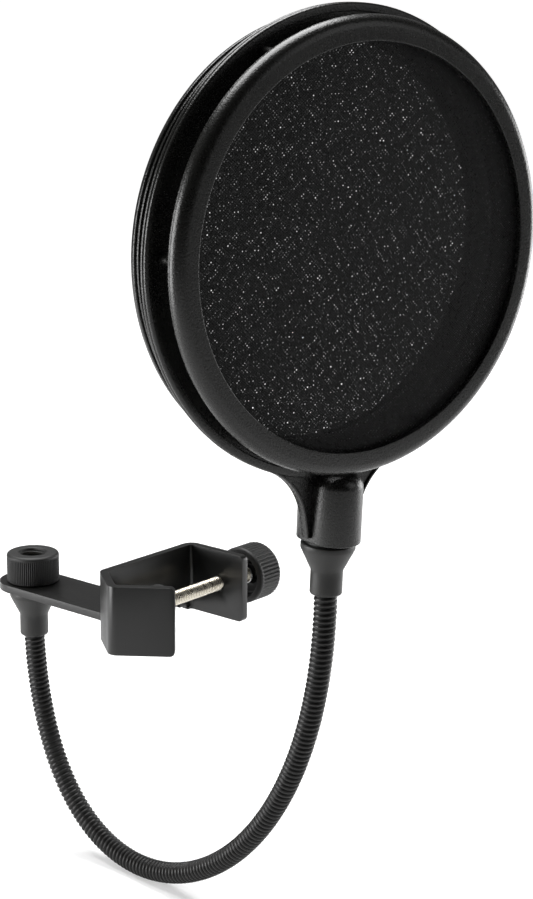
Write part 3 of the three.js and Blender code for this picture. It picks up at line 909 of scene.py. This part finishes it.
def frame_piece():
    f, y, b = FRAME_RING, YOKE, BARREL
    bead = f["rim_half"] / 2 + 0.12
    crown = f["rim"] - bead
    section = [
        (f["inner"] + 0.3, -f["web_half"]),
        (f["web_edge"], -f["web_half"]),
        (f["web_edge"] + 0.4, -f["rim_half"]),
        (crown, -f["rim_half"]),
        *arc(crown, -f["rim_half"] + bead, bead, -90, 68, 10)[1:],
        *arc(crown, f["rim_half"] - bead, bead, -68, 90, 10),
        (f["web_edge"] + 0.4, f["rim_half"]),
        (f["web_edge"], f["web_half"]),
        (f["inner"] + 0.3, f["web_half"]),
        (f["inner"], f["web_half"] - 0.3),
        (f["inner"], -f["web_half"] + 0.3),
    ]
    points, faces = revolved(section, f["sides"], ring=True)
    ring = mesh_object("frame_moulding", points, faces, side_places["front"])

    # The yoke is lofted through copies of its outline, from its back face around the lip to its front face.
    lip, web = y["lip_half"], y["web_half"]
    climb = [
        (y["lip"] + 0.15, web),
        (y["lip"], web + 0.35),
        (y["lip"] - 0.15, lip - 0.12),
        (y["lip"] - 0.35, lip),
        (0.4, lip),
        (0.12, lip - 0.15),
        (0, lip - 0.5),
    ]
    profile = [(i, -h) for i, h in climb] + [(i, h) for i, h in reversed(climb)]
    loops = []
    for inset, height in profile:
        outline, side_count = yoke_outline(inset)
        buried = f["web_half"] - 0.1
        for i, (x, z) in enumerate(outline):
            in_ring = i >= 2 * side_count
            depth = max(-buried, min(buried, height)) if in_ring else height
            loops.append((x, depth, z))
    count = len(loops) // len(profile)
    faces = [list(range(count - 1, -1, -1)), list(range(len(loops) - count, len(loops)))]
    for row in range(len(profile) - 1):
        for i in range(count):
            after = (i + 1) % count
            base = row * count
            faces.append([base + i, base + after, base + count + after, base + count + i])
    yoke = mesh_object("yoke", loops, faces, head_upright)

    foot = b["foot"]
    section = [
        (0, b["bottom"]),
        *arc(b["radius"] - foot, b["bottom"] + foot, foot, -90, 0, 5),
        *arc(b["radius"] - b["dome"], b["top"] - b["dome"], b["dome"], 0, 90, 16),
        (0, b["top"]),
    ]
    points, faces = revolved(section, b["sides"])
    drawn = []
    for x, across, z in points:
        on_axis = math.hypot(x, across) <= 0.01
        drawn.append((x, across if on_axis else across + math.copysign(b["offset"], across), z))
    half_side = Matrix.Rotation(math.pi / b["sides"], 4, "Z")
    post = mesh_object("post", drawn, faces, head_upright @ half_side)

    mouth, end = b["bottom"] - 5, b["bottom"] + b["bore_depth"]
    points, faces = revolved([(0, mouth), (b["bore"], mouth), (b["bore"], end), (0, end)], b["sides"])
    bore = mesh_object("bore", points, faces, head_upright)
    return combined(ring, [(yoke, "UNION"), (post, "UNION"), (bore, "DIFFERENCE")])


def head_pieces():
    finished(frame_piece(), "head_black", "head", "centre_frame")
    for side in ("front", "rear"):
        finished(hoop_piece(side), "head_black", "head", f"{side}_hoop")
        finished(retainer_piece(side), "head_black", "head", f"{side}_retainer")
        for index in range(1, 7):
            finished(peg_piece(side, index), "head_black", "head", f"{side}_peg_{index}")
        screen = finished(screen_piece(side), "nylon", "head", f"{side}_screen")


softened_bracket()
clamp_pieces()
finished(nut_piece(), "knob_black", "nut", "lock_nut")
studs()
lower = ferrule_piece("lower_ferrule_moulding", Matrix.Translation(base_mouth))
finished(lower, "ferrule_black", "neck_base", "lower_ferrule")
upper = ferrule_piece("upper_ferrule_moulding", neck_place)
finished(upper, "ferrule_black", "neck_top", "upper_ferrule")
gooseneck()
head_pieces()
for name in ("nut_washer", "socket_insert"):
    coloured_node(name, "nickel")

# ---------- floor, light and camera ----------


def floor():
    """White ground. Its glow is for the camera only, so that it doesn't light the object from below."""
    place = (0, 0, cad_low.z)
    bpy.ops.mesh.primitive_circle_add(vertices=64, radius=FLOOR["radius"], fill_type="NGON", location=place)
    made = bpy.context.object
    made.name = "floor"
    tree, shader = graph_of("floor")
    shader.inputs["Base Color"].default_value = (0.8, 0.8, 0.8, 1)
    shader.inputs["Roughness"].default_value = 0.9
    shader.inputs["Specular IOR Level"].default_value = 0
    shader.inputs["Emission Color"].default_value = (1, 1, 1, 1)
    where = node(tree, "VectorMath", {0: node(tree, "TexCoord").outputs["Object"]}, operation="LENGTH")
    distance = where.outputs["Value"]
    glow = ramp(tree, distance, FLOOR["middle"], FLOOR["edge"], FLOOR["starts"], FLOOR["ends"])
    ray = node(tree, "LightPath").outputs["Is Camera Ray"]
    strength = node(tree, "Math", {0: ray, 1: glow}, operation="MULTIPLY").outputs[0]
    tree.links.new(strength, shader.inputs["Emission Strength"])
    made.data.materials.append(materials["floor"])


def softbox(name, direction, distance, width, height, power):
    """An area light that faces the middle of the object from a direction."""
    target = (cad_low + cad_high) / 2
    light = bpy.data.lights.new(name, "AREA")
    light.shape = "RECTANGLE"
    light.size, light.size_y = width, height
    light.energy = power
    made = bpy.data.objects.new(name, light)
    bpy.context.scene.collection.objects.link(made)
    away = Vector(direction).normalized()
    made.location = target + away * distance
    made.rotation_mode = "QUATERNION"
    made.rotation_quaternion = (-away).to_track_quat("-Z", "Y")
    made.visible_camera = False


def world():
    """White to the camera. As light it is faint, and faintest around the camera, so that black plastic keeps
    its shape."""
    scene_world = bpy.data.worlds.new("studio")
    bpy.context.scene.world = scene_world
    scene_world.use_nodes = True
    tree = scene_world.node_tree
    background = tree.nodes["Background"]
    where = node(tree, "TexCoord").outputs["Generated"]
    facing = node(tree, "VectorMath", {0: where}, operation="DOT_PRODUCT")
    facing.inputs[1].default_value = Vector((CAMERA_LOOK[0], CAMERA_LOOK[1], 0)).normalized()
    ahead = facing.outputs["Value"]
    glow = ramp(tree, ahead, WORLD["near"], WORLD["far"], WORLD["starts"], WORLD["ends"])
    ray = node(tree, "LightPath").outputs["Is Camera Ray"]
    strength = node(tree, "Math", {0: ray, 1: glow}, operation="MAXIMUM").outputs[0]
    background.inputs["Color"].default_value = (1, 1, 1, 1)
    tree.links.new(strength, background.inputs["Strength"])


def camera():
    look = Vector(CAMERA_LOOK).normalized()
    made = bpy.data.objects.new("camera", bpy.data.cameras.new("camera"))
    bpy.context.scene.collection.objects.link(made)
    made.data.lens = CAMERA_LENS
    made.data.sensor_width = 36
    made.data.clip_start, made.data.clip_end = 0.01, 100
    made.location = Vector(CAMERA_PLACE) * MM
    made.rotation_mode = "QUATERNION"
    level = look.to_track_quat("-Z", "Y")
    made.rotation_quaternion = level @ Matrix.Rotation(math.radians(CAMERA_ROLL), 3, "Z").to_quaternion()
    bpy.context.scene.camera = made


floor()
world()
for name, values in SOFTBOXES.items():
    softbox(name, *values)
camera()
bpy.context.scene.view_settings.view_transform = "Standard"
